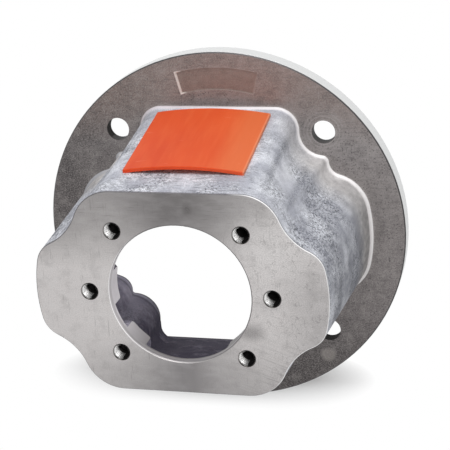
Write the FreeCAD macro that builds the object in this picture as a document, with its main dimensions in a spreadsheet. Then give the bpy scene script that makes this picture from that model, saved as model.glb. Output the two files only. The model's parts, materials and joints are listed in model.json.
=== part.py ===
"""Pump bell housing: a cast aluminium adapter between an electric motor and a hydraulic pump.

The bore runs along Y. The pump face is the plane y = 0, with the pump on its -Y side; the motor flange is at
the +Y end, and the access window with its cover is on top, at +Z. Lengths are millimetres, angles degrees.
"""
import FreeCAD
import Part

import math
import os

import Sketcher

V = FreeCAD.Vector
Rule = Sketcher.Constraint

# Driving dimensions: name, value, what it measures

SIZES = [
    ("pilot_diameter", 82.55, "bore that centres the pump"),
    ("pilot_chamfer", 0.7, "lead-in of the bore at the pump face"),
    ("pilot_relief", 0.5, "how much wider the cut in the bosses is than the bore, each side"),
    ("two_bolt_spacing", 106.375, "hole to hole, two-bolt pump flange"),
    ("four_bolt_circle", 104.775, "circle of the four-bolt pump flange"),
    ("bolt_turn", 45.0, "angle of the first hole of every four-hole circle"),
    ("tapped_diameter", 9.525, "major diameter of a tapped hole"),
    ("tapped_depth", 12.0, "full depth of a tapped hole, without its drill point"),
    ("drill_point_angle", 118.0, "angle of the cone at its bottom"),
    ("tapped_mouth", 10.5, "countersink at the mouth of a tapped hole"),
    ("tapped_mouth_angle", 90.0, "angle of that countersink"),
    ("face_height", 120.9, "pump face, top edge to bottom edge"),
    ("face_width", 170.6, "pump face, across its two rounded sides"),
    ("face_notch_radius", 32.5, "hollow between a corner and a side of the pump face"),
    ("face_shoulder_radius", 15.4, "round where that hollow meets the side"),
    ("face_shoulder_height", 14.5, "centre of that round over the bore axis"),
    ("face_corner_share", 0.395, "share of the face's corner that runs into the throat's corner"),
    ("face_valley_share", 0.535, "share of the face's corner that runs into the bolt valley"),
    ("face_edge_break", 0.5, "chamfer round the pump face"),
    ("bell_length", 107.95, "pump face to the front of the motor flange"),
    ("face_land", 1.5, "straight part of the bell behind the pump face"),
    ("throat_land", 4.0, "straight part of the bell in front of the flange"),
    ("throat_height", 157.0, "bell where it meets the flange, top to bottom"),
    ("throat_width", 185.0, "bell where it meets the flange, across its rounded sides"),
    ("throat_corner_radius", 12.4, "round between the flat top and a bolt valley"),
    ("valley_radius", 16.7, "room round a motor bolt for its head and a wrench"),
    ("throat_ridge_radius", 2.5, "round between a bolt valley and the hollow below it"),
    ("throat_notch_radius", 10.5, "hollow between a bolt valley and a rounded side"),
    ("throat_notch_height", 46.8, "centre of that hollow over the bore axis"),
    ("throat_shoulder_radius", 24.0, "round where that hollow meets the side"),
    ("throat_shoulder_height", 13.6, "centre of that round over the bore axis"),
    ("flange_fillet", 3.0, "fillet between the bell and the flange"),
    ("flange_diameter", 228.6, "turned rim of the motor flange"),
    ("rim_width", 14.3, "thickness of the flange at its rim"),
    ("rim_chamfer", 0.8, "chamfer on both edges of the rim"),
    ("register_wall", 6.35, "rim left round the recess that centres the motor"),
    ("register_depth", 6.35, "depth of that recess"),
    ("register_chamfer", 0.8, "lead-in of that recess"),
    ("motor_bolt_circle", 184.15, "bolt circle of the motor"),
    ("motor_bolt_hole", 14.3, "clearance hole for a motor bolt"),
    ("face_wall", 5.5, "wall of the bell behind the pump face"),
    ("throat_wall", 3.5, "wall of the bell where it meets the flange"),
    ("opening_flare", 0.4, "how far the cavity's opening in the recess passes the bell's outline"),
    ("inner_ridge_radius", 1.5, "round inside the cavity between valley and hollow"),
    ("mouth_corner_radius", 2.0, "round of the cavity's mouth between valley and flat top"),
    ("web", 5.0, "thickness of the pump face between its bosses"),
    ("boss_reach", 16.2, "pump face to the back of the bosses"),
    ("side_boss_radius", 16.0, "boss behind a hole of the two-bolt flange"),
    ("side_rib_width", 22.0, "rib from that boss to the side wall"),
    ("corner_boss_radius", 13.3, "boss behind a hole of the four-bolt flange"),
    ("corner_rib_width", 18.0, "rib from that boss to the corner wall"),
    ("boss_round", 1.5, "round on the back edge of the bosses"),
    ("core_fillet", 3.0, "cast fillet between the pump face and the walls, inside"),
    ("core_land", 4.0, "straight part of the cavity behind the pump face"),
    ("window_width", 58.0, "access window, across the bore"),
    ("window_length", 62.0, "access window, along the bore"),
    ("window_corner", 6.0, "corner radius of the window"),
    ("window_centre", 60.0, "pump face to the middle of the window"),
    ("panel_gap", 9.6, "rim of the flange to the upper edge of the sunk panel"),
    ("panel_height", 13.7, "sunk panel, lower edge to upper edge"),
    ("panel_half_angle", 14.3, "half of the panel's arc"),
    ("panel_depth", 0.8, "depth of the sunk panel"),
    ("cover_width", 70.5, "window cover, across"),
    ("cover_length", 76.6, "window cover, along the sloping top"),
    ("cover_thickness", 2.0, "sheet of the cover"),
    ("cover_rise", 3.0, "how far the cover arches up in the middle"),
    ("cover_foot", 1.5, "flat strip along each side that rests on the bell"),
    ("cover_edge", 0.4, "round on the upper edges of the cover"),
    ("snap_length", 40.0, "length of a snap leg"),
    ("snap_thickness", 2.0, "thickness of a snap leg"),
    ("snap_barb", 1.2, "reach of a snap leg under the window's edge"),
    ("snap_height", 3.0, "height of the barb"),
    ("snap_clearance", 0.3, "gap between a snap leg and the window"),
]

doc = FreeCAD.newDocument("pump_bell_housing")
sizes = doc.addObject("Spreadsheet::Sheet", "sizes")
for row, (alias, value, meaning) in enumerate(SIZES, start=1):
    sizes.set(f"A{row}", str(value))
    sizes.setAlias(f"A{row}", alias)
    sizes.set(f"B{row}", meaning)
doc.recompute()

# Places worked out from the driving dimensions

CORNER_BOLT = "sizes.four_bolt_circle / 2 * sin(sizes.bolt_turn * 1deg)"
MOTOR_BOLT = "sizes.motor_bolt_circle / 2 * sin(sizes.bolt_turn * 1deg)"
RECESS_FLOOR = "sizes.bell_length + sizes.rim_width - sizes.register_depth"
REGISTER = "(sizes.flange_diameter - 2 * sizes.register_wall)"
THROAT = "(sizes.bell_length - sizes.throat_land)"
TOP_RISE = "(sizes.throat_height - sizes.face_height) / 2"
TOP_SLOPE = f"{TOP_RISE} / ({THROAT} - sizes.face_land)"
CAVITY_RISE = f"({TOP_RISE} + sizes.face_wall - sizes.throat_wall)"
CAVITY_SLOPE = f"{CAVITY_RISE} / ({THROAT} - sizes.web - sizes.core_land)"

# Turn of the pump face's corner, from its flat top to the hollow beside it

FACE_CORNER = f"(sizes.face_height / 2 - {CORNER_BOLT})"
SHOULDER_REACH = "(sizes.face_width / 2 - sizes.face_shoulder_radius)"
SHOULDER_ACROSS = f"sqrt({SHOULDER_REACH} ^ 2 - sizes.face_shoulder_height ^ 2)"
SHOULDER_PAST = f"({SHOULDER_ACROSS} - {CORNER_BOLT})"
SHOULDER_UNDER = f"({CORNER_BOLT} - sizes.face_shoulder_height)"
CORNER_TO_SHOULDER = f"sqrt({SHOULDER_PAST} ^ 2 + {SHOULDER_UNDER} ^ 2)"
CORNER_TO_NOTCH = f"({FACE_CORNER} + sizes.face_notch_radius)"
SHOULDER_TO_NOTCH = "(sizes.face_shoulder_radius + sizes.face_notch_radius)"
NOTCH_SPREAD = (
    f"acos(({CORNER_TO_SHOULDER} ^ 2 + {CORNER_TO_NOTCH} ^ 2 - {SHOULDER_TO_NOTCH} ^ 2)"
    f" / (2 * {CORNER_TO_SHOULDER} * {CORNER_TO_NOTCH}))"
)
FACE_TURN = f"(90deg + atan({SHOULDER_UNDER} / {SHOULDER_PAST}) - {NOTCH_SPREAD}) / 1deg"


def worth(expression):
    """Present value of an expression on the driving dimensions."""
    result = sizes.evalExpression(expression)
    return float(getattr(result, "Value", result))


# Sketches

START, END, CENTRE = range(1, 4)
ACROSS, UP = range(-1, -3, -1)
ORIGIN = (ACROSS, START)


def sketch_on(body, name, role, depth="0", turn="0"):
    """Sketch on an origin plane of the body, moved along the plane's normal and turned in the plane."""
    sketch = body.newObject("Sketcher::SketchObject", name)
    face = next(item for item in body.Origin.OriginFeatures if item.Role == role)
    sketch.AttachmentSupport = (face, [""])
    sketch.MapMode = "FlatFace"
    sketch.AttachmentOffset = FreeCAD.Placement(V(), FreeCAD.Rotation(V(0, 0, 1), worth(turn)))
    sketch.setExpression("AttachmentOffset.Base.z", depth)
    return sketch


def bind(sketch, kind, *where, to):
    """Dimension in a sketch, tied to an expression."""
    number = worth(to)
    start = math.radians(number) if kind == "Angle" else number
    index = sketch.addConstraint(Rule(kind, *where, start))
    sketch.setExpression(f"Constraints[{index}]", f"({to}) * 1deg" if kind == "Angle" else to)


def line(a, b):
    return Part.LineSegment(V(*a, 0), V(*b, 0))


def circle(centre, radius):
    return Part.Circle(V(*centre, 0), V(0, 0, 1), radius)


def arc(centre, start, end):
    """Arc round a centre, counter-clockwise from one point to the other."""
    first = math.atan2(start[1] - centre[1], start[0] - centre[0])
    last = math.atan2(end[1] - centre[1], end[0] - centre[0])
    radius = math.dist(centre, start)
    return Part.ArcOfCircle(circle(centre, radius), first, last if last > first else last + math.tau)


def closed_lines(sketch, points):
    """Closed chain of straight lines; gives the first line's index."""
    first = sketch.GeometryCount
    count = len(points)
    for k in range(count):
        sketch.addGeometry(line(points[k], points[(k + 1) % count]), False)
    for k in range(count):
        sketch.addConstraint(Rule("Coincident", first + k, END, first + (k + 1) % count, START))
    return first


def add_circle(sketch, across, diameter):
    """Circle on the sketch's horizontal axis."""
    ring = sketch.addGeometry(circle((worth(across), 0), worth(diameter) / 2), False)
    sketch.addConstraint(Rule("PointOnObject", ring, CENTRE, ACROSS))
    if across != "0":
        bind(sketch, "DistanceX", *ORIGIN, ring, CENTRE, to=across)
    else:
        sketch.addConstraint(Rule("PointOnObject", ring, CENTRE, UP))
    bind(sketch, "Diameter", ring, to=diameter)


# Outlines of the bell: a flat top, then tangent arcs down to the rounded side, the same in all four quarters


class Bend:
    """One arc of a quarter outline; hollow arcs have their centre outside the bell."""

    def __init__(self, name, radius, centre, hollow=False, up=None, across=None, turn=None, like=None):
        self.name, self.radius, self.centre, self.hollow = name, radius, centre, hollow
        self.up, self.across, self.turn, self.like = up, across, turn, like
        self.size = worth(radius)


def beside(a, from_a, b, from_b):
    """Point at the given distances from a and from b, to the left of the way from a to b."""
    span = math.dist(a, b)
    along = (span**2 + from_a**2 - from_b**2) / (2 * span)
    aside = math.sqrt(from_a**2 - along**2)
    ux, uy = (b[0] - a[0]) / span, (b[1] - a[1]) / span
    return (a[0] + ux * along - uy * aside, a[1] + uy * along + ux * aside)


def on_level(from_origin, level):
    """Point at a distance from the bore axis and at a height over it."""
    return (math.sqrt(from_origin**2 - level**2), level)


def face_bends(wall):
    """Outline of the pump face, inset by a wall: side first, then up to the flat top."""
    side = f"sizes.face_width / 2 - ({wall})"
    shoulder = f"sizes.face_shoulder_radius - ({wall})"
    notch = f"sizes.face_notch_radius + ({wall})"
    corner = f"sizes.face_height / 2 - {CORNER_BOLT} - ({wall})"
    level = "sizes.face_shoulder_height"
    shoulder_at = on_level(worth(side) - worth(shoulder), worth(level))
    corner_at = (worth(CORNER_BOLT), worth(CORNER_BOLT))
    valley_turn = f"{FACE_TURN} * sizes.face_valley_share"
    corner_turn = f"{FACE_TURN} * sizes.face_corner_share"
    notch_at = beside(corner_at, worth(corner) + worth(notch), shoulder_at, worth(shoulder) + worth(notch))
    return [
        Bend("side", side, (0, 0)),
        Bend("shoulder", shoulder, shoulder_at, up=level),
        Bend("notch", notch, notch_at, hollow=True),
        Bend("ridge", corner, corner_at, like="corner"),
        Bend("valley", corner, corner_at, like="corner", turn=valley_turn),
        Bend("corner", corner, corner_at, up=CORNER_BOLT, across=CORNER_BOLT, turn=corner_turn),
    ], f"sizes.face_height / 2 - ({wall})"


def throat_bends(wall, ridge, corner):
    """Outline of the bell at the flange, inset by a wall, with its convex radii beside the valley."""
    side = f"sizes.throat_width / 2 - ({wall})"
    shoulder = f"sizes.throat_shoulder_radius - ({wall})"
    notch = f"sizes.throat_notch_radius + ({wall})"
    valley = f"sizes.valley_radius + ({wall})"
    top = f"sizes.throat_height / 2 - ({wall})"
    shoulder_level = "sizes.throat_shoulder_height"
    notch_level = "sizes.throat_notch_height"
    shoulder_at = on_level(worth(side) - worth(shoulder), worth(shoulder_level))
    climb = worth(notch_level) - shoulder_at[1]
    notch_at = (shoulder_at[0] + on_level(worth(notch) + worth(shoulder), climb)[0], worth(notch_level))
    valley_at = (worth(MOTOR_BOLT), worth(MOTOR_BOLT))
    ridge_at = beside(notch_at, worth(notch) + worth(ridge), valley_at, worth(valley) + worth(ridge))
    drop = worth(top) - worth(corner) - valley_at[1]
    corner_at = (valley_at[0] - on_level(worth(corner) + worth(valley), drop)[0], worth(top) - worth(corner))
    return [
        Bend("side", side, (0, 0)),
        Bend("shoulder", shoulder, shoulder_at, up=shoulder_level),
        Bend("notch", notch, notch_at, hollow=True, up=notch_level),
        Bend("ridge", ridge, ridge_at),
        Bend("valley", valley, valley_at, hollow=True, up=MOTOR_BOLT, across=MOTOR_BOLT),
        Bend("corner", corner, corner_at),
    ], top


def joint(a, b, below):
    """Point where two neighbouring bends touch; a shared centre has its point below the flat top."""
    if a.centre == b.centre:
        angle = math.pi / 2 - math.radians(below)
        return (a.centre[0] + a.size * math.cos(angle), a.centre[1] + a.size * math.sin(angle))
    reach = a.size / math.dist(a.centre, b.centre)
    if not a.hollow and not b.hollow and a.size < b.size:
        reach = -reach
    return tuple(p + (q - p) * reach for p, q in zip(a.centre, b.centre))


def draw_outline(sketch, bends, top):
    """Closed outline of 24 pieces: two flats, two side arcs and five bends in each quarter."""
    below = [0.0] * len(bends)
    for k in range(len(bends) - 1, 0, -1):
        turn = bends[k].turn
        below[k - 1] = below[k] + (worth(turn) if turn else 0.0)
    points = [joint(a, b, below[k]) for k, (a, b) in enumerate(zip(bends, bends[1:]))]
    points.append((bends[-1].centre[0], worth(top)))

    def flip(point, side):
        return (point[0] * side[0], point[1] * side[1])

    chain = []

    def lay(bend, start, end, side):
        ends = (end, start) if bend.hollow else (start, end)
        index = sketch.addGeometry(arc(flip(bend.centre, side), *ends), False)
        order = (END, START) if bend.hollow else (START, END)
        chain.append((index, order, bend, side))

    def lay_flat(start, end):
        index = sketch.addGeometry(line(start, end), False)
        chain.append((index, (START, END), None, None))

    for across in (1, -1):
        lower, upper, beyond = (across, -across), (across, across), (-across, across)
        lay(bends[0], flip(points[0], lower), flip(points[0], upper), (across, 1))
        for k in range(1, len(bends)):
            lay(bends[k], flip(points[k - 1], upper), flip(points[k], upper), upper)
        lay_flat(flip(points[-1], upper), flip(points[-1], beyond))
        for k in range(len(bends) - 1, 0, -1):
            lay(bends[k], flip(points[k], beyond), flip(points[k - 1], beyond), beyond)

    leaders = {(bend.name, side): index for index, _, bend, side in chain if bend}
    for k, (index, order, bend, _) in enumerate(chain):
        next_index, next_order, next_bend, _ = chain[(k + 1) % len(chain)]
        concentric = bend and next_bend and bend.centre == next_bend.centre
        kind = "Coincident" if concentric else "Tangent"
        sketch.addConstraint(Rule(kind, index, order[1], next_index, next_order[0]))
    for index, _, bend, side in chain:
        if bend is None:
            continue
        if bend.like:
            sketch.addConstraint(Rule("Coincident", index, CENTRE, leaders[(bend.like, side)], CENTRE))
        else:
            bind(sketch, "Radius", index, to=bend.radius)
        if bend.name == "side":
            sketch.addConstraint(Rule("Coincident", index, CENTRE, *ORIGIN))
        if bend.up:
            ends = (*ORIGIN, index, CENTRE) if side[1] > 0 else (index, CENTRE, *ORIGIN)
            bind(sketch, "DistanceY", *ends, to=bend.up)
        if bend.across:
            ends = (*ORIGIN, index, CENTRE) if side[0] > 0 else (index, CENTRE, *ORIGIN)
            bind(sketch, "DistanceX", *ends, to=bend.across)
        if bend.turn:
            bind(sketch, "Angle", index, to=bend.turn)
    if not bends[-1].up:
        for index, _, bend, _ in chain:
            if bend is None:
                height = sketch.Geometry[index].StartPoint.y
                ends = (*ORIGIN, index, START) if height > 0 else (index, START, *ORIGIN)
                bind(sketch, "DistanceY", *ends, to=top)
                sketch.addConstraint(Rule("Horizontal", index))


def outline(body, name, depth, bends_and_top):
    sketch = sketch_on(body, name, "XZ_Plane", f"-({depth})")
    draw_outline(sketch, *bends_and_top)
    return sketch


# Features


def feature(body, kind, name, profile, length=None, **settings):
    """Pad or pocket of a sketch, with its length as an expression; it has to change the volume."""
    before = body.Shape.Volume if body.Tip else 0.0
    item = body.newObject(f"PartDesign::{kind}", name)
    item.Profile = profile
    if length:
        item.setExpression("Length", length)
    for key, value in settings.items():
        setattr(item, key, value)
    doc.recompute()
    if (item.Shape.Volume > before) != (kind == "Pad"):
        raise RuntimeError(f"{name} points the wrong way")
    return item


def loft(body, kind, name, first, last):
    item = body.newObject(f"PartDesign::{kind}", name)
    item.Profile = first
    item.Sections = [last]
    item.Ruled = True
    doc.recompute()
    return item


def around(body, name, original, count):
    """Copies of a feature round the bore axis."""
    pattern = body.newObject("PartDesign::PolarPattern", name)
    pattern.Originals = [original]
    axis = next(item for item in body.Origin.OriginFeatures if item.Role == "Y_Axis")
    pattern.Axis = (axis, [""])
    pattern.Angle = 360
    pattern.Occurrences = count
    body.Tip = pattern
    doc.recompute()
    return pattern


def edges(shape, test, kinds=(object,)):
    """Names of the edges of some kinds of curve of which five points along them all pass the test."""
    return [
        f"Edge{number}"
        for number, edge in enumerate(shape.Edges, start=1)
        if isinstance(edge.Curve, kinds) and all(test(point) for point in edge.discretize(5))
    ]


def dress(body, kind, name, base, chosen, **settings):
    """Fillet or chamfer on chosen edges of the last feature."""
    item = body.newObject(f"PartDesign::{kind}", name)
    item.Base = (base, chosen)
    for key, value in settings.items():
        item.setExpression(key, value)
    doc.recompute()
    return item


def near(value, target, within=0.01):
    return abs(value - target) < within


def off_axis(point):
    """Distance of a point from the bore axis."""
    return math.hypot(point.x, point.z)


def ring_edges(base, level, diameter):
    """Circles of a diameter round the bore axis, at a distance behind the pump face."""
    depth, reach = worth(level), worth(diameter) / 2
    return edges(base.Shape, lambda p: near(p.y, depth) and near(off_axis(p), reach), (Part.Circle,))


# Housing: one sand casting, machined on both ends

housing = doc.addObject("PartDesign::Body", "housing")
housing.Label = "housing"

bell_front = outline(housing, "bell_front", "sizes.face_land", face_bends("0"))
bell_back = outline(
    housing,
    "bell_back",
    THROAT,
    throat_bends("0", "sizes.throat_ridge_radius", "sizes.throat_corner_radius"),
)
bell = loft(housing, "AdditiveLoft", "bell", bell_front, bell_back)
face_land = feature(housing, "Pad", "face_land", bell_front, "sizes.face_land")
face_edges = edges(face_land.Shape, lambda p: near(p.y, 0))
dress(housing, "Chamfer", "face_break", face_land, face_edges, Size="sizes.face_edge_break")
feature(housing, "Pad", "throat_land", bell_back, "sizes.throat_land", Reversed=True)

FLANGE_BACK = "sizes.bell_length + sizes.rim_width"
rim_sketch = sketch_on(housing, "rim_outline", "XZ_Plane", "-sizes.bell_length")
add_circle(rim_sketch, "0", "sizes.flange_diameter")
rim = feature(housing, "Pad", "rim", rim_sketch, "sizes.rim_width", Reversed=True)
rim_edges = ring_edges(rim, "sizes.bell_length", "sizes.flange_diameter")
rim_edges += ring_edges(rim, FLANGE_BACK, "sizes.flange_diameter")
rim_break = dress(housing, "Chamfer", "rim_break", rim, rim_edges, Size="sizes.rim_chamfer")

flange_front = worth("sizes.bell_length")
rim_edge = worth("sizes.flange_diameter / 2 - sizes.rim_chamfer")
junction = edges(rim_break.Shape, lambda p: near(p.y, flange_front) and not near(off_axis(p), rim_edge))
dress(housing, "Fillet", "flange_blend", rim_break, junction, Radius="sizes.flange_fillet")

# Cavity, which flares out through the flange into the recess behind it

INNER_RIDGE = "sizes.inner_ridge_radius"
INNER_CORNER = "sizes.throat_corner_radius - sizes.throat_wall"
cavity_front = outline(housing, "cavity_front", "sizes.web + sizes.core_land", face_bends("sizes.face_wall"))
throat_inside = throat_bends("sizes.throat_wall", INNER_RIDGE, INNER_CORNER)
cavity_back = outline(housing, "cavity_back", THROAT, throat_inside)
mouth_bends = throat_bends("-sizes.opening_flare", INNER_RIDGE, "sizes.mouth_corner_radius")
cavity_mouth = outline(housing, "cavity_mouth", RECESS_FLOOR, mouth_bends)
loft(housing, "SubtractiveLoft", "cavity", cavity_front, cavity_back)
loft(housing, "SubtractiveLoft", "cavity_flare", cavity_back, cavity_mouth)
feature(housing, "Pocket", "cavity_end", cavity_front, "sizes.core_land", Reversed=True)

recess_sketch = sketch_on(housing, "recess_outline", "XZ_Plane", f"-({RECESS_FLOOR})")
add_circle(recess_sketch, "0", REGISTER)
recess = feature(housing, "Pocket", "recess", recess_sketch, "sizes.register_depth")
recess_edge = ring_edges(recess, FLANGE_BACK, REGISTER)
recess_break = dress(housing, "Chamfer", "recess_break", recess, recess_edge, Size="sizes.register_chamfer")

web_back = worth("sizes.web")
core_edges = edges(recess_break.Shape, lambda p: near(p.y, web_back))
dress(housing, "Fillet", "core_blend", recess_break, core_edges, Radius="sizes.core_fillet")

# Bosses for the tapped holes, each tied to the wall by a rib


def boss_outline(name, across, radius, rib_width, rib_end, turn="0"):
    """Round boss with a rib that runs out from it along the sketch's horizontal axis."""
    sketch = sketch_on(housing, name, "XZ_Plane", "-sizes.web", turn)
    middle, reach, half, tip = worth(across), worth(radius), worth(rib_width) / 2, worth(rib_end)
    root = middle + math.sqrt(reach**2 - half**2)
    ring = sketch.addGeometry(arc((middle, 0), (root, half), (root, -half)), False)
    lower = sketch.addGeometry(line((root, -half), (tip, -half)), False)
    outer = sketch.addGeometry(line((tip, -half), (tip, half)), False)
    upper = sketch.addGeometry(line((tip, half), (root, half)), False)
    loop = (ring, lower, outer, upper)
    for first, last in zip(loop, loop[1:] + loop[:1]):
        sketch.addConstraint(Rule("Coincident", first, END, last, START))
    for side in (lower, upper):
        sketch.addConstraint(Rule("Horizontal", side))
    sketch.addConstraint(Rule("Symmetric", outer, START, outer, END, ACROSS))
    sketch.addConstraint(Rule("PointOnObject", ring, CENTRE, ACROSS))
    bind(sketch, "DistanceX", *ORIGIN, ring, CENTRE, to=across)
    bind(sketch, "Radius", ring, to=radius)
    bind(sketch, "DistanceX", *ORIGIN, outer, START, to=rib_end)
    bind(sketch, "DistanceY", outer, START, outer, END, to=rib_width)
    return sketch


MID_WALL = "sizes.face_wall / 2"
BOSS_LENGTH = "sizes.boss_reach - sizes.web"
side_boss_sketch = boss_outline(
    "side_boss_outline",
    "sizes.two_bolt_spacing / 2",
    "sizes.side_boss_radius",
    "sizes.side_rib_width",
    f"sizes.face_width / 2 - {MID_WALL}",
)
side_boss = feature(housing, "Pad", "side_boss", side_boss_sketch, BOSS_LENGTH, Reversed=True)
around(housing, "side_bosses", side_boss, 2)

corner_boss_sketch = boss_outline(
    "corner_boss_outline",
    "sizes.four_bolt_circle / 2",
    "sizes.corner_boss_radius",
    "sizes.corner_rib_width",
    f"sizes.four_bolt_circle / 2 + sizes.face_height / 2 - {CORNER_BOLT} - {MID_WALL}",
    "sizes.bolt_turn",
)
corner_boss = feature(housing, "Pad", "corner_boss", corner_boss_sketch, BOSS_LENGTH, Reversed=True)
bosses = around(housing, "corner_bosses", corner_boss, 4)

boss_back = worth("sizes.boss_reach")
boss_edges = edges(bosses.Shape, lambda p: near(p.y, boss_back), (Part.Circle,))
dress(housing, "Fillet", "boss_blend", bosses, boss_edges, Radius="sizes.boss_round")

# Pilot bore through the web, with a slightly wider cut into the bosses behind it

relief_sketch = sketch_on(housing, "relief_outline", "XZ_Plane", "-sizes.web")
add_circle(relief_sketch, "0", "sizes.pilot_diameter + 2 * sizes.pilot_relief")
feature(housing, "Pocket", "relief", relief_sketch, BOSS_LENGTH)
pilot_sketch = sketch_on(housing, "pilot_outline", "XZ_Plane")
add_circle(pilot_sketch, "0", "sizes.pilot_diameter")
pilot = feature(housing, "Pocket", "pilot", pilot_sketch, "sizes.web")
pilot_edge = ring_edges(pilot, "0", "sizes.pilot_diameter")
dress(housing, "Chamfer", "pilot_break", pilot, pilot_edge, Size="sizes.pilot_chamfer")

# Motor bolt holes

motor_hole_sketch = sketch_on(
    housing, "motor_hole_outline", "XZ_Plane", "-sizes.bell_length", "sizes.bolt_turn"
)
add_circle(motor_hole_sketch, "sizes.motor_bolt_circle / 2", "sizes.motor_bolt_hole")
motor_hole = feature(housing, "Pocket", "motor_hole", motor_hole_sketch, "sizes.rim_width")
around(housing, "motor_holes", motor_hole, 4)

# Tapped holes of the two pump flanges, blind in their bosses; their threads are left plain


def tapped_hole(name, across, turn):
    sketch = sketch_on(housing, f"{name}_outline", "XZ_Plane", "0", turn)
    add_circle(sketch, across, "sizes.tapped_diameter")
    hole = housing.newObject("PartDesign::Hole", name)
    hole.Profile = sketch
    doc.recompute()
    hole.setExpression("Diameter", "sizes.tapped_diameter")
    hole.DepthType = "Dimension"
    hole.setExpression("Depth", "sizes.tapped_depth")
    hole.DrillPoint = "Angled"
    hole.setExpression("DrillPointAngle", "sizes.drill_point_angle * 1deg")
    hole.DrillForDepth = False
    hole.HoleCutType = "Countersink"
    hole.HoleCutCustomValues = True
    hole.setExpression("HoleCutDiameter", "sizes.tapped_mouth")
    hole.setExpression("HoleCutCountersinkAngle", "sizes.tapped_mouth_angle * 1deg")
    doc.recompute()
    return hole


side_hole = tapped_hole("side_hole", "sizes.two_bolt_spacing / 2", "0")
around(housing, "side_holes", side_hole, 2)
corner_hole = tapped_hole("corner_hole", "sizes.four_bolt_circle / 2", "sizes.bolt_turn")
around(housing, "corner_holes", corner_hole, 4)

# Access window through the sloping top, cored straight down


def draw_rounded_rectangle(sketch, width, length, radius, centre):
    """Rectangle with round corners, centred over the sketch's vertical axis."""
    half_w, half_l, r, mid = worth(width) / 2, worth(length) / 2, worth(radius), worth(centre)
    left, right, low, high = -half_w, half_w, mid - half_l, mid + half_l
    runs = [
        ((left + r, low), (right - r, low), (right - r, low + r)),
        ((right, low + r), (right, high - r), (right - r, high - r)),
        ((right - r, high), (left + r, high), (left + r, high - r)),
        ((left, high - r), (left, low + r), (left + r, low + r)),
    ]
    sides, corners = [], []
    for k, (start, end, middle) in enumerate(runs):
        sides.append(sketch.addGeometry(line(start, end), False))
        corners.append(sketch.addGeometry(arc(middle, end, runs[(k + 1) % 4][0]), False))
    for k in range(4):
        sketch.addConstraint(Rule("Tangent", sides[k], END, corners[k], START))
        sketch.addConstraint(Rule("Tangent", corners[k], END, sides[(k + 1) % 4], START))
        sketch.addConstraint(Rule("Vertical" if k % 2 else "Horizontal", sides[k]))
    for k in range(1, 4):
        sketch.addConstraint(Rule("Equal", corners[0], corners[k]))
    bind(sketch, "Radius", corners[0], to=radius)
    bind(sketch, "DistanceX", *ORIGIN, sides[1], START, to=f"{width} / 2")
    bind(sketch, "DistanceX", sides[3], START, *ORIGIN, to=f"{width} / 2")
    bind(sketch, "DistanceY", *ORIGIN, sides[0], START, to=f"{centre} - {length} / 2")
    bind(sketch, "DistanceY", *ORIGIN, sides[2], START, to=f"{centre} + {length} / 2")


window_sketch = sketch_on(housing, "window_outline", "XY_Plane", "sizes.throat_height / 2")
draw_rounded_rectangle(
    window_sketch, "sizes.window_width", "sizes.window_length", "sizes.window_corner", "sizes.window_centre"
)
feature(housing, "Pocket", "window", window_sketch, f"{TOP_RISE} + sizes.face_wall")

# Sunk panel for a plate, left bare, cut into the flange over the bell


def draw_ring_sector(sketch, inner_radius, outer_radius, half_angle):
    """Part of a ring round the bore axis, the same on both sides of the sketch's vertical axis."""
    spread = math.radians(worth(half_angle))

    def corner(radius, side):
        return (side * worth(radius) * math.sin(spread), worth(radius) * math.cos(spread))

    rings = []
    for radius in (inner_radius, outer_radius):
        rings.append(sketch.addGeometry(arc((0, 0), corner(radius, 1), corner(radius, -1)), False))
        sketch.addConstraint(Rule("Coincident", rings[-1], CENTRE, *ORIGIN))
        bind(sketch, "Radius", rings[-1], to=radius)
    for side, end in ((1, START), (-1, END)):
        edge = sketch.addGeometry(line(corner(inner_radius, side), corner(outer_radius, side)), False)
        sketch.addConstraint(Rule("Coincident", rings[0], end, edge, START))
        sketch.addConstraint(Rule("Coincident", rings[1], end, edge, END))
        sketch.addConstraint(Rule("PointOnObject", *ORIGIN, edge))
    sketch.addConstraint(Rule("Symmetric", rings[1], START, rings[1], END, UP))
    bind(sketch, "Angle", rings[1], to=f"{half_angle} * 2")


panel_sketch = sketch_on(housing, "panel_outline", "XZ_Plane", "-sizes.bell_length")
PANEL_TOP = "(sizes.flange_diameter / 2 - sizes.panel_gap)"
draw_ring_sector(panel_sketch, f"{PANEL_TOP} - sizes.panel_height", PANEL_TOP, "sizes.panel_half_angle")
feature(housing, "Pocket", "panel", panel_sketch, "sizes.panel_depth")

# Window cover: one moulding that lies on the sloping top and snaps into the window

cover = doc.addObject("PartDesign::Body", "window_cover")
cover.Label = "window_cover"

cover_sketch = sketch_on(cover, "cover_section", "XZ_Plane")
edge_x, sheet = worth("sizes.cover_width / 2"), worth("sizes.cover_thickness")
foot_x = edge_x - worth("sizes.cover_foot")


def arch_radius(chord):
    """Radius of an arc over a chord, as high as the cover arches up."""
    return f"(({chord} / 2) ^ 2 + sizes.cover_rise ^ 2) / (2 * sizes.cover_rise)"


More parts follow.
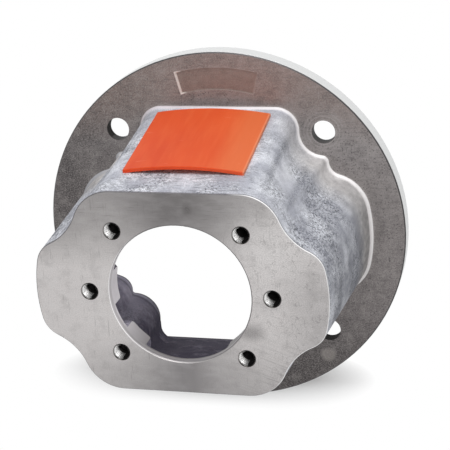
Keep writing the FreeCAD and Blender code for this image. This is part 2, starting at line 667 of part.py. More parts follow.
UNDER_CHORD = "(sizes.cover_width - 2 * sizes.cover_foot)"
arches = []
for half, level, chord in ((edge_x, sheet, "sizes.cover_width"), (foot_x, 0, UNDER_CHORD)):
    middle = (0, level + worth("sizes.cover_rise") - worth(arch_radius(chord)))
    arches.append(cover_sketch.addGeometry(arc(middle, (half, level), (-half, level)), False))
    cover_sketch.addConstraint(Rule("PointOnObject", arches[-1], CENTRE, UP))
    bind(cover_sketch, "Radius", arches[-1], to=arch_radius(chord))
for side, end in ((1, START), (-1, END)):
    rise = cover_sketch.addGeometry(line((side * edge_x, 0), (side * edge_x, sheet)), False)
    foot = cover_sketch.addGeometry(line((side * foot_x, 0), (side * edge_x, 0)), False)
    cover_sketch.addConstraint(Rule("Coincident", arches[0], end, rise, END))
    cover_sketch.addConstraint(Rule("Coincident", foot, END, rise, START))
    cover_sketch.addConstraint(Rule("Coincident", arches[1], end, foot, START))
    cover_sketch.addConstraint(Rule("Vertical", rise))
    cover_sketch.addConstraint(Rule("PointOnObject", foot, START, ACROSS))
    cover_sketch.addConstraint(Rule("PointOnObject", foot, END, ACROSS))
bind(cover_sketch, "DistanceY", *ORIGIN, arches[0], START, to="sizes.cover_thickness")
bind(cover_sketch, "DistanceX", arches[0], END, arches[0], START, to="sizes.cover_width")
bind(cover_sketch, "DistanceX", arches[1], END, arches[1], START, to=UNDER_CHORD)
cover_sheet = feature(cover, "Pad", "cover_sheet", cover_sketch, "sizes.cover_length", SideType="Symmetric")

crown_radius = worth(arch_radius("sizes.cover_width"))
crown_centre = sheet + worth("sizes.cover_rise") - crown_radius
upper_edges = edges(
    cover_sheet.Shape,
    lambda p: near(math.hypot(p.x, p.z - crown_centre), crown_radius) and p.z > sheet / 2,
)
dress(cover, "Fillet", "cover_edge_round", cover_sheet, upper_edges, Radius="sizes.cover_edge")

LEG_FRONT = "(sizes.window_centre - sizes.snap_length / 2)"
WALL_AT_LEG = (
    f"sizes.face_wall + ({LEG_FRONT} - sizes.face_land) * {TOP_SLOPE}"
    f" - ({LEG_FRONT} - sizes.web - sizes.core_land) * {CAVITY_SLOPE}"
)
LEDGE_DROP = f"{WALL_AT_LEG} + sizes.snap_clearance"
LEG_FACE = "sizes.window_width / 2 - sizes.snap_clearance"

leg_sketch = sketch_on(cover, "snap_leg_section", "XZ_Plane")
leg_x, ledge_z = worth(LEG_FACE), -worth(LEDGE_DROP)
inner_x, barb_x = leg_x - worth("sizes.snap_thickness"), leg_x + worth("sizes.snap_barb")
tip_z = ledge_z - worth("sizes.snap_height")
tip, lead, ledge, face, root, back = range(
    closed_lines(
        leg_sketch,
        [
            (inner_x, tip_z),
            (leg_x, tip_z),
            (barb_x, ledge_z),
            (leg_x, ledge_z),
            (leg_x, sheet),
            (inner_x, sheet),
        ],
    ),
    6,
)
for level_line in (tip, ledge, root):
    leg_sketch.addConstraint(Rule("Horizontal", level_line))
for upright in (face, back):
    leg_sketch.addConstraint(Rule("Vertical", upright))
leg_sketch.addConstraint(Rule("Vertical", lead, START, face, START))
bind(leg_sketch, "DistanceX", *ORIGIN, face, START, to=LEG_FACE)
bind(leg_sketch, "DistanceX", tip, START, tip, END, to="sizes.snap_thickness")
bind(leg_sketch, "DistanceX", ledge, END, ledge, START, to="sizes.snap_barb")
bind(leg_sketch, "DistanceY", *ORIGIN, root, START, to="sizes.cover_thickness")
bind(leg_sketch, "DistanceY", ledge, START, *ORIGIN, to=LEDGE_DROP)
bind(leg_sketch, "DistanceY", lead, START, lead, END, to="sizes.snap_height")
leg = feature(cover, "Pad", "snap_leg", leg_sketch, "sizes.snap_length", SideType="Symmetric")
legs = cover.newObject("PartDesign::Mirrored", "snap_legs")
legs.Originals = [leg]
legs.MirrorPlane = (next(item for item in cover.Origin.OriginFeatures if item.Role == "YZ_Plane"), [""])
cover.Tip = legs

cover.Placement = FreeCAD.Placement(V(), FreeCAD.Rotation(V(1, 0, 0), worth(f"atan({TOP_SLOPE})")))
cover.setExpression("Placement.Rotation.Angle", f"atan({TOP_SLOPE})")
cover.setExpression("Placement.Base.y", "sizes.window_centre")
cover.setExpression(
    "Placement.Base.z",
    f"sizes.face_height / 2 + (sizes.window_centre - sizes.face_land) * {TOP_SLOPE}",
)
doc.recompute()

# Checks, then one file for each piece

bodies = (housing, cover)
failed = [item.Name for item in doc.Objects if {"Invalid", "Error"} & set(item.State)]
if failed:
    raise RuntimeError(f"failed objects: {failed}")
for body in bodies:
    shape = body.Shape
    if shape.isNull() or not shape.isValid() or len(shape.Solids) != 1:
        raise RuntimeError(f"{body.Label} isn't one valid solid")

os.makedirs("parts", exist_ok=True)
for body in bodies:
    body.Shape.exportStep(f"parts/{body.Label}.step")
    print(body.Label, round(body.Shape.Volume / 1000, 2), "cm3", body.Shape.BoundBox)
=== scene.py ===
"""Pump bell housing: a cast aluminium adapter with an orange window cover, on a pale studio floor."""

import json
import math

import bpy
from mathutils import Matrix, Vector


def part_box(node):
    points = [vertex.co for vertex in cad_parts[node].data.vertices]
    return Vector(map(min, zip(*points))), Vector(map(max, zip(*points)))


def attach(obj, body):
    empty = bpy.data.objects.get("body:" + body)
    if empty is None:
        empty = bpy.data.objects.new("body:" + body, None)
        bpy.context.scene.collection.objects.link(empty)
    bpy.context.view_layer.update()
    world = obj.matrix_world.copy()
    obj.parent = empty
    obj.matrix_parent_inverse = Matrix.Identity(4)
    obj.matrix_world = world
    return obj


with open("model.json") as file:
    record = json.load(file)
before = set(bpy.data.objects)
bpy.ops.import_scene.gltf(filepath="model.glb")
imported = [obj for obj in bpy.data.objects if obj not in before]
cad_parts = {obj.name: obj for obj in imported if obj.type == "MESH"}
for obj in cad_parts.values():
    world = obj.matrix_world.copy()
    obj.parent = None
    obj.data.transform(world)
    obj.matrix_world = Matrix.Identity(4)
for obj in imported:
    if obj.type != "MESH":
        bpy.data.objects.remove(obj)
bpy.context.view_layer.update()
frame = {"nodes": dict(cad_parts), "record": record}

# Housing: one aluminium sand casting, machined on the pump face, in the bore, on the flange and in the
# motor's recess. Everything else keeps the skin that the sand left. Places in its material are the object's
# own, in millimetres: the bore runs along Y, and the pump face is y = 0.

mounts = {mount["name"]: mount.get("dims") for mount in frame["record"]["mounts"]}
bore_radius = mounts["pump_pilot"]["r_mm"]
side_hole_across = mounts["pump_two_bolt"]["spacing_x_mm"] / 2
corner_hole_across = mounts["pump_four_bolt"]["pcd_mm"] / 2 * math.sin(math.pi / 4)
motor_hole_across = mounts["motor_bolts"]["pcd_mm"] / 2 * math.sin(math.pi / 4)
motor_hole_radius = mounts["motor_bolts"]["hole_r_mm"]
flange_thickness = 14.3
flange_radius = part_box("housing")[1].x * 1000
flange_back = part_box("housing")[1].y * 1000
flange_front = flange_back - flange_thickness
recess_depth = 6.35
recess_floor = flange_back - recess_depth
face_break = 0.5
bore_break = 0.7
rim_break = 0.8
flange_fillet = 3.0
boss_end = 16.3
hole_mouth = 5.25
drill_point_end = 14.9
panel_inner = 91.0
panel_outer = 104.7
panel_depth = 0.8
panel_half_angle = 14.3


def shade(code):
    """Linear colour of a hexadecimal code as it looks on a screen."""
    channels = [int(code[k : k + 2], 16) / 255 for k in (0, 2, 4)]
    linear = [c / 12.92 if c <= 0.04045 else ((c + 0.055) / 1.055) ** 2.4 for c in channels]
    return (*linear, 1.0)


class Wire:
    """Output of a shader node. Arithmetic on wires and numbers adds Math nodes."""

    def __init__(self, tree, socket):
        self.tree, self.socket = tree, socket

    def node(self, kind, settings, sockets, out=0):
        """Adds a node of a kind: its settings first, then a value or a wire for each socket it names."""
        made = self.tree.nodes.new(f"ShaderNode{kind}")
        for key, value in settings.items():
            setattr(made, key, value)
        for key, value in sockets.items():
            if isinstance(value, Wire):
                self.tree.links.new(value.socket, made.inputs[key])
            else:
                made.inputs[key].default_value = value
        return Wire(self.tree, made.outputs[out])

    def math(self, operation, *values):
        return self.node("Math", {"operation": operation}, dict(enumerate(values)))

    def __add__(self, other):
        return self.math("ADD", self, other)

    def __radd__(self, other):
        return self.math("ADD", other, self)

    def __sub__(self, other):
        return self.math("SUBTRACT", self, other)

    def __rsub__(self, other):
        return self.math("SUBTRACT", other, self)

    def __mul__(self, other):
        return self.math("MULTIPLY", self, other)

    def __rmul__(self, other):
        return self.math("MULTIPLY", other, self)

    def __truediv__(self, other):
        return self.math("DIVIDE", self, other)

    def __pow__(self, other):
        return self.math("POWER", self, other)

    def __abs__(self):
        return self.math("ABSOLUTE", self)

    def larger(self, other):
        return self.math("MAXIMUM", self, other)

    def smaller(self, other):
        return self.math("MINIMUM", self, other)

    def zigzag(self, step):
        """Rises from 0 to a step and falls back, over and over."""
        return self.math("PINGPONG", self, step)

    def reach(self, other):
        """Distance to a point or a line, from the offsets in two directions."""
        return (self * self + other * other) ** 0.5

    def over(self, low, high):
        """0 up to the low value, 1 from the high value on."""
        return self.node("MapRange", {}, {"Value": self, "From Min": low, "From Max": high})

    def under(self, low, high):
        """1 up to the low value, 0 from the high value on."""
        return 1 - self.over(low, high)

    def within(self, low, high, soft):
        return self.over(low - soft, low + soft) * self.under(high - soft, high + soft)

    def parts(self):
        """The three numbers of a vector."""
        return [self.node("SeparateXYZ", {}, {0: self}, out=k) for k in range(3)]

    def stretched(self, across, along, up):
        """A place with each of its directions scaled, for grain that runs one way."""
        return self.node("VectorMath", {"operation": "MULTIPLY"}, {0: self, 1: (across, along, up)})

    def noise(self, grain, detail=3.0, rough=0.55):
        """Cloudy noise from 0 to 1 at this place, with patches about a grain wide."""
        sockets = {"Vector": self, "Scale": 1 / grain, "Detail": detail, "Roughness": rough}
        return self.node("TexNoise", {}, sockets)

    def blend(self, low, high):
        """A colour between two colours, by this number."""
        sockets = {"Factor": self, 6: low, 7: high}
        return self.node("Mix", {"data_type": "RGBA", "clamp_factor": True}, sockets, out=2)

    def tones(self, dark, light):
        """A colour between two hexadecimal codes, by this number."""
        return self.blend(shade(dark), shade(light))


def layered(colour, *layers):
    """A colour with others laid over it in turn, each where its own mask is."""
    for mask, top in layers:
        colour = mask.blend(colour, top if isinstance(top, Wire) else shade(top))
    return colour


def new_material(name):
    """A material with its Principled shader, a place in millimetres and the way that the surface faces."""
    material = bpy.data.materials.new(name)
    material.use_nodes = True
    tree = material.node_tree
    shader = next(node for node in tree.nodes if node.type == "BSDF_PRINCIPLED")
    start = Wire(tree, shader.outputs[0])
    place = start.node("TexCoord", {}, {}, out="Object").stretched(1000, 1000, 1000)
    facing = start.node("TexCoord", {}, {}, out="Normal")
    return material, shader, place, facing


def finish_surface(shader, colour, roughness, metallic, height, depth):
    """Feeds colour, roughness and relief into the shader. A height of 1 stands up by the depth, in metres."""
    bump = height.node("Bump", {}, {"Strength": 1.0, "Distance": depth, "Height": height})
    sockets = {"Base Color": colour, "Roughness": roughness, "Metallic": metallic, "Normal": bump}
    for key, value in sockets.items():
        if isinstance(value, Wire):
            value.tree.links.new(value.socket, shader.inputs[key])
        else:
            shader.inputs[key].default_value = value


cast, shader, place, facing = new_material("cast_and_machined_aluminium")
x, y, z = place.parts()
facing_x, facing_y, facing_z = facing.parts()
off_axis = x.reach(z)
outward = ((x * facing_x + z * facing_z) / off_axis).over(-0.05, 0.05)
faces_pump = (0 - facing_y).over(0.85, 0.95)

# Where each kind of surface lies
on_face = y.under(0.01, 0.05)
on_break = y.within(0.04, face_break + 0.04, 0.02) * off_axis.over(50, 52)
in_bore = off_axis.under(bore_radius + bore_break, bore_radius + bore_break + 0.1)
in_bore = in_bore * y.under(boss_end, boss_end + 0.2)
on_bore_edge = in_bore * off_axis.over(bore_radius + 0.05, bore_radius + 0.1)
on_bore_edge = on_bore_edge * y.under(bore_break, bore_break + 0.1)
on_flange = y.within(flange_front - 0.2, flange_front + 1, 0.05) * faces_pump
on_rim = off_axis.over(flange_radius - rim_break - 0.06, flange_radius - rim_break)
on_rim_edge = on_rim * y.under(flange_front + rim_break - 0.1, flange_front + rim_break)
on_back = y.over(recess_floor - 0.2, recess_floor - 0.1) * (1 - on_rim)
fillet_edge = flange_front - flange_fillet
on_fillet = (y - z.over(5, 45) * 2.0).over(fillet_edge - 1, fillet_edge + 0.4) * outward
on_fillet = on_fillet * y.under(flange_front - 0.1, flange_front - 0.03)

side_hole = (abs(x) - side_hole_across).reach(z)
corner_hole = (abs(x) - corner_hole_across).reach(abs(z) - corner_hole_across)
motor_hole = (abs(x) - motor_hole_across).reach(abs(z) - motor_hole_across)
in_hole = side_hole.smaller(corner_hole).under(hole_mouth, hole_mouth + 0.05)
in_hole = in_hole * y.under(drill_point_end, drill_point_end + 0.2)
in_motor_hole = motor_hole.under(motor_hole_radius + 0.02, motor_hole_radius + 0.1)

# The sand-cast skin: pale, a little blue, cloudy, with dark pits and streaks that gather in patches, and
# painted shade and highlights laid over it
clouds = place.noise(14, 4)
pits = place.noise(1.5, 4, 0.75)
flecks = place.noise(0.7, 2, 0.7)
streaks = place.stretched(1.0, 0.2, 1.0).noise(1.6, 4, 0.7)
across = place.stretched(0.14, 1.0, 1.0).noise(1.1, 4, 0.7)
crackle = abs(place.noise(4.5, 4, 0.65) - 0.5).under(0.004, 0.016)
scuffed = (x - 82).reach((y - 50) * 0.7746).reach(z - 26)
patches = place.noise(30, 2) + scuffed.under(8, 26) * 0.12
on_top = facing_z.over(0.9, 0.96)
near_flange = y.over(70, 92) * abs(x).over(40, 60)
# Painted shade: the side walls darker low down, also mottled into the dirt below
lower_side_shade = abs(x).over(52, 74) * z.under(0, 40) * y.within(10, 96, 14)

pitted = pits.over(0.5, 0.58) * patches.over(0.4, 0.56)
streaked = streaks.over(0.52, 0.62) * patches.over(0.34, 0.58) * 0.7 * (1 - on_top)
streaked = streaked + across.over(0.53, 0.6) * on_top * 0.6
dirt_and_shade = pitted.larger(streaked).larger(crackle * patches.over(0.36, 0.52) * 0.8)
dirt_and_shade = dirt_and_shade * (1 - near_flange * 0.85) * (1 - y.over(50, 80) * z.over(48, 60) * 0.6)
# Besides pits, streaks and cracks, this carries painted shade: dark streaks on the walls that face left, and
# mottled shade on the lower side walls
dirt_and_shade = dirt_and_shade + facing_x.under(-0.7, -0.3) * z.over(20, 34) * streaks.over(0.46, 0.56) * 0.4
dirt_and_shade = (dirt_and_shade + lower_side_shade * clouds.under(0.42, 0.6) * 0.45).smaller(1.0)

crease = (abs(x) - 47.8).reach(z - 57.4 - y * 0.113)
valley = (abs(x) - 60.2).reach(z - 47.0 - y * 0.03)
# Painted highlight along the ridge between crease and valley
ridge = (abs(x) - 55).reach(z - 52 - y * 0.07)
# Painted shade along the creases and the valleys, broken up by flecks
crease_shade = crease.under(0.8, 3.6).larger(valley.under(0.8, 4.2)) * y.within(22, 92, 10)
# Painted shade: a dark line on the skin just behind the pump face's chamfer, darker on the right
edge_shade_line = y.within(face_break + 0.05, face_break + 0.9, 0.1)
drawn = place.stretched(0.5, 0.5, 1.0).noise(3.0, 3).over(0.3, 0.7)
# By the flange the skin is smoother; its lower part is painted darker as shade
smooth_skin = z.over(14, 40).blend(drawn.tones("8F8B88", "BEBAB6"), drawn.tones("C6C2C0", "EBE8E6"))
skin = layered(
    clouds.over(0.36, 0.64).tones("BBBDC7", "EDEFF6"),
    (flecks.over(0.45, 0.65) * 0.5, "8A8D97"),
    (ridge.under(2, 9) * y.over(25, 60) * 0.4, "F8F9FD"),
    (crease_shade * (0.16 + flecks.over(0.4, 0.6) * 0.44), "5A5C65"),
    (edge_shade_line * (0.6 + x.over(20, 40) * 0.2), "4C4D55"),
    (lower_side_shade * 0.55, "6C6D75"),
    (near_flange * 0.8, smooth_skin),
    (dirt_and_shade * 0.85, "454851"),
)

# Inside, the skin is painted darker as shade, most of all low down and along the mouth's lines; the upper
# half and the tops of the valleys are painted lighter as highlight
smudges = place.noise(9, 4, 0.65)
valley_top_highlight = facing_z.over(0.6, 0.95) * abs(x).over(45, 52)
mouth_shade_lines = y.over(111, 114) * 0.7 + y.within(102, 105, 1) * 0.35
inner = layered(
    clouds.over(0.36, 0.64).tones("7F798D", "BDB9C7"),
    (z.over(-15, 30) * 0.5, "CBC9D0"),
    (z.under(-62, -38) * 0.85, "352E44"),
    (smudges.over(0.52, 0.64) * 0.3, "A5A1B1"),
    (valley_top_highlight * 0.5, "AAA8B6"),
    (mouth_shade_lines, "1B191F"),
    (dirt_and_shade * 0.5, "45424C"),
)

# The pump face: fly-cut and then wiped, with painted reflections that make it light to the left and right and
# duller over and under the bore, and with hairlines, rings and slanting scratches from use
grain = place.noise(0.55, 3, 0.6)
sweeps = place.stretched(0.35, 1.0, 1.0).noise(5.0, 3)
hairlines = place.stretched(1.0, 1.0, 0.07).noise(1.0, 2)
level_scratches = place.stretched(0.06, 1.0, 1.0).noise(0.9, 3)
along, uphill = x * 0.95 - z * 0.3, z * 0.95 + x * 0.3
slanting = x.node("CombineXYZ", {}, {0: along * 0.06, 1: uphill, 2: 0.0}).noise(1.3, 3)
rings = abs(place.noise(11, 3, 0.6) - 0.5).under(0.002, 0.01)
gleam = (x - 52).reach(z - 30).under(5, 25)
blot = (x - 40).reach((z + 21) * 1.5811).under(3, 11)
nick = ((x - 7.5) * 1.4142).reach(z - 51.5).under(1, 5)
# Painted reflection and shade: darker over the bore, at the upper left, low down and on the far right lobe;
# the gleam is a painted highlight
over_bore = z.over(14, 50) * abs(x).under(8, 64)
upper_left = z.over(14, 40) * x.under(-66, -20)
right_lobe = x.over(56, 76) * z.under(4, 26)
lower_right = x.over(26, 44) * z.under(-44, -24)
face = layered(
    (abs(x) / off_axis).over(0.1, 0.85).tones("8C898A", "D6D2D1"),
    (over_bore * 0.72, "666362"),
    (upper_left * 0.64, "6F6C6B"),
    (z.under(-50, -20) * 0.2, "767372"),
    (right_lobe * 0.36, "8B8889"),
    (gleam * 0.5, "EEEBEA"),
    (smudges.over(0.5, 0.68) * 0.22, "787575"),
    (hairlines.over(0.64, 0.69) * 0.3, "6F6C6B"),
    (level_scratches.over(0.6, 0.68) * z.over(10, 48) * 0.35, "5A5756"),
    (rings * x.over(20, 60) * 0.45, "7A7777"),
    (grain.over(0.35, 0.65) * (0.38 + x.over(20, 60) * 0.14), "848181"),
    (sweeps.over(0.45, 0.75) * 0.12, "E2E0E0"),
    (blot * (0.35 + grain * 0.4), "6B6868"),
    (slanting.over(0.51, 0.63) * lower_right * 0.36, "666363"),
    (nick * grain.over(0.35, 0.6) * 0.6, "454241"),
)

# The flange: faced on a lathe and stained, brownish round the sunk panel. Painted shade darkens it low down
# and on the left, painted light brightens the upper right, and painted highlights line the panel's edges,
# brightest on the left
stain = place.noise(26, 3)
fine = place.noise(0.8, 3, 0.65)
mottle = place.noise(5.5, 5, 0.7)
specks = place.noise(1.1, 3, 0.7)
brushed = place.stretched(0.2, 1.0, 1.0).noise(1.4, 3, 0.65)
mark = (x - 64.0).reach(z + 82.5).under(3.2, 5.6)
scored = motor_hole.zigzag(1.1).over(0.5, 1.0) * motor_hole.under(11, 15) * x.over(0, 9) * z.over(0, 9)
sunk = y.over(flange_front + panel_depth - 0.3, flange_front + panel_depth - 0.2)
panel_middle = (panel_inner + panel_outer) / 2
panel_half_height = (panel_outer - panel_inner) / 2
turn = x.math("ARCTAN2", x, z) * math.degrees(1)
panel_left = turn.under(0.7 - panel_half_angle, 2.3 - panel_half_angle)
from_end = abs(abs(turn) - panel_half_angle) * off_axis * math.radians(1)
from_middle = abs(off_axis - panel_middle)
end_lines = from_end.under(0.3, 0.9) * from_middle.under(panel_half_height + 0.35, panel_half_height + 0.75)
arc_lines = abs(from_middle - panel_half_height).under(0.2, 0.7)
arc_lines = arc_lines * abs(turn).under(panel_half_angle + 0.2, panel_half_angle + 0.5)
# Painted highlights along the panel's edges, brightest on the left
panel_edge_highlight = end_lines.larger(arc_lines) * (0.07 + panel_left * 0.75)
# Painted shade low down and on the left, painted light at the upper right
flange = layered(
    z.over(-110, 70).tones("4F4A4B", "999392"),
    (x.over(10, 70) * z.over(0, 70) * 0.35, "A8A3A0"),
    (x.under(-100, -10) * 0.92, "363234"),
    (stain.over(0.35, 0.65) * 0.4, "7D7776"),
    (off_axis.over(80, 92) * z.over(56, 84) * 0.6, "7E6A62"),
    (z.under(-98, -52) * 0.72, "332F30"),
    (mottle.over(0.5, 0.66) * 0.26, "A39E9B"),
    (mottle.under(0.34, 0.5) * 0.32, "4A4546"),
    (fine.over(0.45, 0.65) * 0.45, "AEA9A6"),
    (brushed.over(0.5, 0.66) * 0.3, "5B5757"),
    (specks.over(0.58, 0.64) * patches.over(0.36, 0.5) * 0.7, "353234"),
    (mark * 0.4, "AAA49F"),
    (sunk * 0.5, "837067"),
    (panel_edge_highlight, "E8E0DB"),
    (scored * 0.3, "B4AFAC"),
)
# The panel's walls: painted light on the left wall, painted shade on the others
panel_wall = y.within(flange_front, flange_front + panel_depth, 0.06) * (1 - on_flange)
panel_wall = panel_wall * off_axis.within(panel_inner - 2, panel_outer + 1.3, 1)
panel_wall = panel_wall * abs(turn).under(panel_half_angle + 0.5, panel_half_angle + 0.9)

# Rim, recess and bore: bright cuts, with fine turning lines on the rim and in the recess; the bore and its
# edge carry painted light on the left and painted shade lower down and to the right
turning = y.node("TexWave", {"bands_direction": "Y"}, {"Vector": place, "Scale": 0.45, "Distortion": 1.5})
rim_cut = (turning * 0.3).tones("E4E5E5", "C3C4C4")
turned = (off_axis + clouds * 0.8).zigzag(0.7).over(0.1, 0.6)
back_cut = layered(
    (turned * 0.3).tones("C2BFBD", "9C9997"),
    (smudges.over(0.48, 0.66) * 0.3, "7E7B79"),
    (stain.over(0.4, 0.65) * 0.35, "8A8583"),
    (crackle * 0.25, "6C6867"),
)
# Painted light on the left of the bore and its chamfer, painted shade low in the bore and towards the lower
# right of the bosses
at_left = x.under(-36, -18)
in_bosses = y.over(2, 4)
bore_cut = layered(
    clouds.over(0.35, 0.7).tones("8F8C8D", "B4B1B2"),
    (in_bosses, clouds.over(0.3, 0.7).tones("CFCACE", "E4E0E3")),
    ((x - z).over(-22, 16) * in_bosses * 0.85, "605D5C"),
    (at_left * (1 - in_bosses) * 0.5, "DAD4D8"),
    (z.under(-40, -20) * (1 - in_bosses) * 0.6, "6E6B6D"),
)
outer_half = off_axis.over(bore_radius + 0.32, bore_radius + 0.4)
bore_edge_cut = at_left.blend(outer_half.tones("7C797A", "A5A2A1"), outer_half.tones("CFCBCC", "FFFFFF"))

# Holes: tapped ones are painted bright on the wall that faces the light and black beyond, as painted light
# and shade; the motor holes are painted dark as shade, darker deeper in
lit_wall = facing_x.over(0.0, 0.5) * y.under(5, 9)
tapped_wall = layered(
    lit_wall.tones("141313", "F4F2F0"),
    (y.under(0.42, 0.55), facing_z.over(0.0, 0.6).tones("8B8886", "2C2A29")),
)
motor_hole_wall = y.over(flange_front + 1, flange_back - 4).tones("33302F", "1C1A1A")

# Painted highlight: the fillet between bell and flange is a bright band, dimmer towards the left as painted
# shade
fillet_light = x.over(-30, 62).tones("C9C1C5", "F1EEEE")
# The chamfer round the pump face: painted shade dark grey, with a painted highlight at the lower right corner
chamfer_glint = x.over(30, 46) * z.over(-64, -50)
colour = layered(
    outward.blend(inner, skin),
    (on_fillet * 0.9, x.over(-62, -48).blend(shade("A5A5AA"), fillet_light)),
    (on_back, back_cut),
    (in_bore, bore_cut),
    (on_bore_edge * 0.9, bore_edge_cut),
    (on_flange, flange),
    (panel_wall, panel_left.tones("9A8E88", "DDD6D1")),
    (on_rim, rim_cut),
    # The rim's front chamfer, painted dark as shade
    (on_rim_edge, "4B4849"),
    (on_break * 0.9, chamfer_glint.tones("5F5C5D", "F3F2F2")),
    (on_face, face),
    (in_motor_hole, motor_hole_wall),
    (in_hole, tapped_wall),
)

machined = on_face
for cut in (on_rim, on_back, in_bore, on_flange, in_hole):
    machined = machined.larger(cut)
sheltered = (1 - outward) * (1 - machined) * y.over(4, 12)
roughness = 0.56 - machined * 0.16 + clouds * 0.08 + sheltered * 0.25 - in_hole * 0.15
metallic = 0.3 + machined * 0.4 + in_hole * 0.3 + sheltered * 0.35
relief = (1 - machined) * (pits * 0.7 + clouds * 2.0) + machined * grain * 0.06
finish_surface(shader, colour, roughness, metallic, relief, 0.00035)

housing = frame["nodes"]["housing"]
for slot in housing.material_slots:
    slot.material = cast

# Threads: 3/8-16 UNC, tapped into the bosses behind the pump face. The CAD holes are plain at the major
# diameter and end in a drill point, so each gets its helical ridge here, from just inside its countersink
# to the end of the full diameter.

thread_pitch = 25.4 / 16
thread_root = mounts["pump_two_bolt"]["hole_r_mm"]
thread_crest = thread_root - 0.55 * thread_pitch
thread_start = 0.9
tapped_depth = 12.0
half_foot = 0.46 * thread_pitch
half_crest = 0.08 * thread_pitch
steps_a_turn = 28
bite = 0.1


def thread_mesh(length):
    """Closed ridge of trapezoid section that winds round the Y axis, its foot just inside the wall."""
    section = [
        (thread_root + bite, -half_foot),
        (thread_crest, -half_crest),
        (thread_crest, half_crest),
        (thread_root + bite, half_foot),
    ]
    count = int(length / thread_pitch * steps_a_turn)
    points, faces = [], []
    for step in range(count + 1):
        angle = math.tau * step / steps_a_turn
        level = thread_start + thread_pitch * step / steps_a_turn
        for radius, offset in section:
            points.append((radius * math.cos(angle), level + offset, radius * math.sin(angle)))
    for step in range(count):
        first = step * 4
        for k in range(4):
            following = (k + 1) % 4
            faces.append((first + k, first + following, first + 4 + following, first + 4 + k))
    faces.append((3, 2, 1, 0))
    last = count * 4
    faces.append((last, last + 1, last + 2, last + 3))
    mesh = bpy.data.meshes.new("thread")
    mesh.from_pydata([Vector(point) / 1000 for point in points], [], faces)
    mesh.validate()
    return mesh


thread_metal, shader, place, facing = new_material("cut_thread")
cut_marks = place.noise(0.4, 3)
# The thread is painted bright on its side that faces the light and black elsewhere: painted light and shade
lit_wall = facing.parts()[0].over(0.0, 0.5) * place.parts()[1].under(4, 8)
thread_colour = lit_wall.blend(shade("141313"), cut_marks.over(0.4, 0.6).tones("A5A2A0", "FFFFFF"))
finish_surface(shader, thread_colour, 0.2 + cut_marks * 0.15, 1.0, cut_marks, 0.00003)

thread_form = thread_mesh(tapped_depth - thread_start - thread_pitch)
thread_form.materials.append(thread_metal)
hole_places = {"thread_right": (side_hole_across, 0), "thread_left": (-side_hole_across, 0)}
for name_up, up in (("upper", 1), ("lower", -1)):
    for name_across, across in (("right", 1), ("left", -1)):
        place_of_hole = (across * corner_hole_across, up * corner_hole_across)
        hole_places[f"thread_{name_up}_{name_across}"] = place_of_hole
for name, (across, up) in hole_places.items():
    thread = bpy.data.objects.new(name, thread_form)
    thread.location = (across / 1000, 0, up / 1000)
    bpy.context.scene.collection.objects.link(thread)
    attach(thread, "root")

# Window cover: one injection moulding in orange plastic that snaps into the access window. Its sheet has a
# faint flow along the bell and light scratches; painted highlights lighten it towards the right and along its
# right edge, and redden its front edge

plastic, shader, place, facing = new_material("orange_plastic")
half_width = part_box("window_cover")[1].x * 1000
x = place.parts()[0]
front_edge = (0 - facing.parts()[1]).over(0.6, 0.8)
flow = place.stretched(1.0, 0.12, 0.12).noise(3.5, 3)
broad = place.stretched(1.0, 0.3, 0.3).noise(20, 2)
scratches = place.stretched(0.05, 1.0, 0.6).noise(1.1, 2)
texture = place.noise(0.5, 2)
orange = layered(
    broad.over(0.3, 0.7).tones("D5461C", "E05628"),
    # Painted highlights: lighter towards the right, where the arched sheet turns to the light, and along the
    # right edge; redder along the front edge
    ((x / half_width).over(-0.9, 0.5) * 0.35, "E2642F"),
    ((x / half_width).over(0.38, 0.72) * 0.55, "E27B48"),
    (flow.over(0.45, 0.75) * 0.2, "EC8152"),
    (front_edge * 0.6, "EE4A24"),
    (scratches.over(0.72, 0.76) * 0.4, "F7B496"),
    (x.over(half_width - 1.2, half_width - 0.4) * 0.35, "F5B08C"),
)
finish_surface(shader, orange, 0.4 + flow * 0.14, 0.0, texture * 0.2 + flow, 0.00006)
shader.inputs["Specular IOR Level"].default_value = 0.2

cover = frame["nodes"]["window_cover"]
for slot in cover.material_slots:
    slot.material = plastic

# Studio floor: a sheet of pale paper that the flange's rim stands on. It takes the object's shadow near the
# rim, and farther away it turns as plain white as the background.

floor_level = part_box("housing")[0].z
floor_reach = 4.0
corners = [(-1, -1), (1, -1), (1, 1), (-1, 1)]
floor_mesh = bpy.data.meshes.new("floor")
floor_points = [(floor_reach * a, floor_reach * b, floor_level) for a, b in corners]
floor_mesh.from_pydata(floor_points, [], [(0, 1, 2, 3)])
floor = bpy.data.objects.new("floor", floor_mesh)
bpy.context.scene.collection.objects.link(floor)

white = (1.0, 1.0, 1.0, 1.0)
paper, shader, place, facing = new_material("studio_paper")
shader.inputs["Base Color"].default_value = (0.9, 0.9, 0.9, 1.0)
shader.inputs["Roughness"].default_value = 0.9
x, y = place.parts()[:2]
seen = place.node("LightPath", {}, {}, out="Is Camera Ray")
reflected = place.node("LightPath", {}, {}, out="Is Glossy Ray")
round_rim = (((x + 22) / 98) ** 2 + ((y - 135) / 50) ** 2).under(0.4, 1.3)
away = 1 - round_rim * y.over(88, 135)
lit_paper = Wire(paper.node_tree, shader.outputs[0])
white_paper = place.node("Emission", {}, {"Color": white, "Strength": 1.0})
shown = place.node("MixShader", {}, {0: away * seen.larger(reflected), 1: lit_paper, 2: white_paper})
output = next(node for node in paper.node_tree.nodes if node.type == "OUTPUT_MATERIAL")
paper.node_tree.links.new(shown.socket, output.inputs["Surface"])
floor_mesh.materials.append(paper)

# Light: a wide soft box overhead, a weaker one from the front right, and a pale room all round, which the
# camera and the bright metal see as white


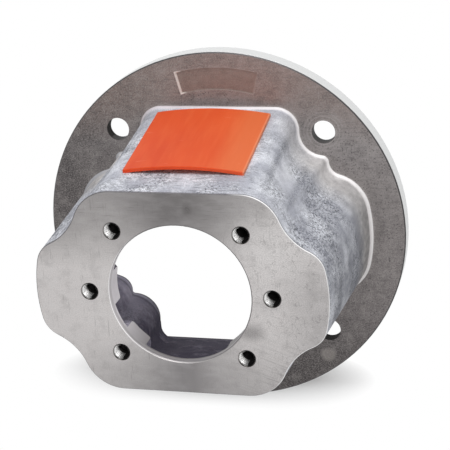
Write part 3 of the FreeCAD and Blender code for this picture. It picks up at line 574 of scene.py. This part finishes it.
def soft_box(name, place, size, power):
    """Square lamp at a place, in metres, turned to the middle of the bell's face."""
    lamp = bpy.data.lights.new(name, "AREA")
    lamp.size = size
    lamp.energy = power
    lamp_object = bpy.data.objects.new(name, lamp)
    lamp_object.location = place
    lamp_object.rotation_euler = (-Vector(place)).to_track_quat("-Z", "Y").to_euler()
    bpy.context.scene.collection.objects.link(lamp_object)


soft_box("key", (0.05, -0.4, 1.0), 0.6, 8.0)
soft_box("fill", (0.6, -1.0, 0.2), 0.5, 1.2)

room_light = 0.38
room = bpy.data.worlds.new("room")
room.use_nodes = True
background = next(node for node in room.node_tree.nodes if node.type == "BACKGROUND")
background.inputs["Color"].default_value = white
background.inputs["Strength"].default_value = room_light
lit_room = Wire(room.node_tree, background.outputs[0])
white_room = lit_room.node("Background", {}, {"Color": white, "Strength": 1.0})
seen = lit_room.node("LightPath", {}, {}, out="Is Camera Ray")
reflected = lit_room.node("LightPath", {}, {}, out="Is Glossy Ray")
shown = lit_room.node("MixShader", {}, {0: seen.larger(reflected), 1: lit_room, 2: white_room})
output = next(node for node in room.node_tree.nodes if node.type == "OUTPUT_WORLD")
room.node_tree.links.new(shown.socket, output.inputs["Surface"])
bpy.context.scene.world = room

# Camera: a long lens from the front, a little to the right and above, tipped slightly. Its angles, distance
# and focal length come from fitting the bolt circles and rims.

camera_azimuth = math.radians(14.6)
camera_elevation = math.radians(19.47)
camera_roll = math.radians(-3.19)
camera_distance = 0.7834
camera_target = Vector((0.0286, 0, 0.0428))
photo_width = 450
focal_pixels = 1432.9

camera = bpy.data.cameras.new("camera")
camera.sensor_width = 36.0
camera.lens = focal_pixels / photo_width * camera.sensor_width
camera.clip_start = 0.01
camera_object = bpy.data.objects.new("camera", camera)
level = math.cos(camera_elevation)
across, forward = level * math.sin(camera_azimuth), level * math.cos(camera_azimuth)
back = Vector((across, -forward, math.sin(camera_elevation)))
aim = (-back).to_track_quat("-Z", "Y").to_matrix() @ Matrix.Rotation(camera_roll, 3, "Z")
camera_object.matrix_world = Matrix.Translation(camera_target + back * camera_distance) @ aim.to_4x4()
bpy.context.scene.collection.objects.link(camera_object)
bpy.context.scene.camera = camera_object
bpy.context.scene.view_settings.view_transform = "Standard"
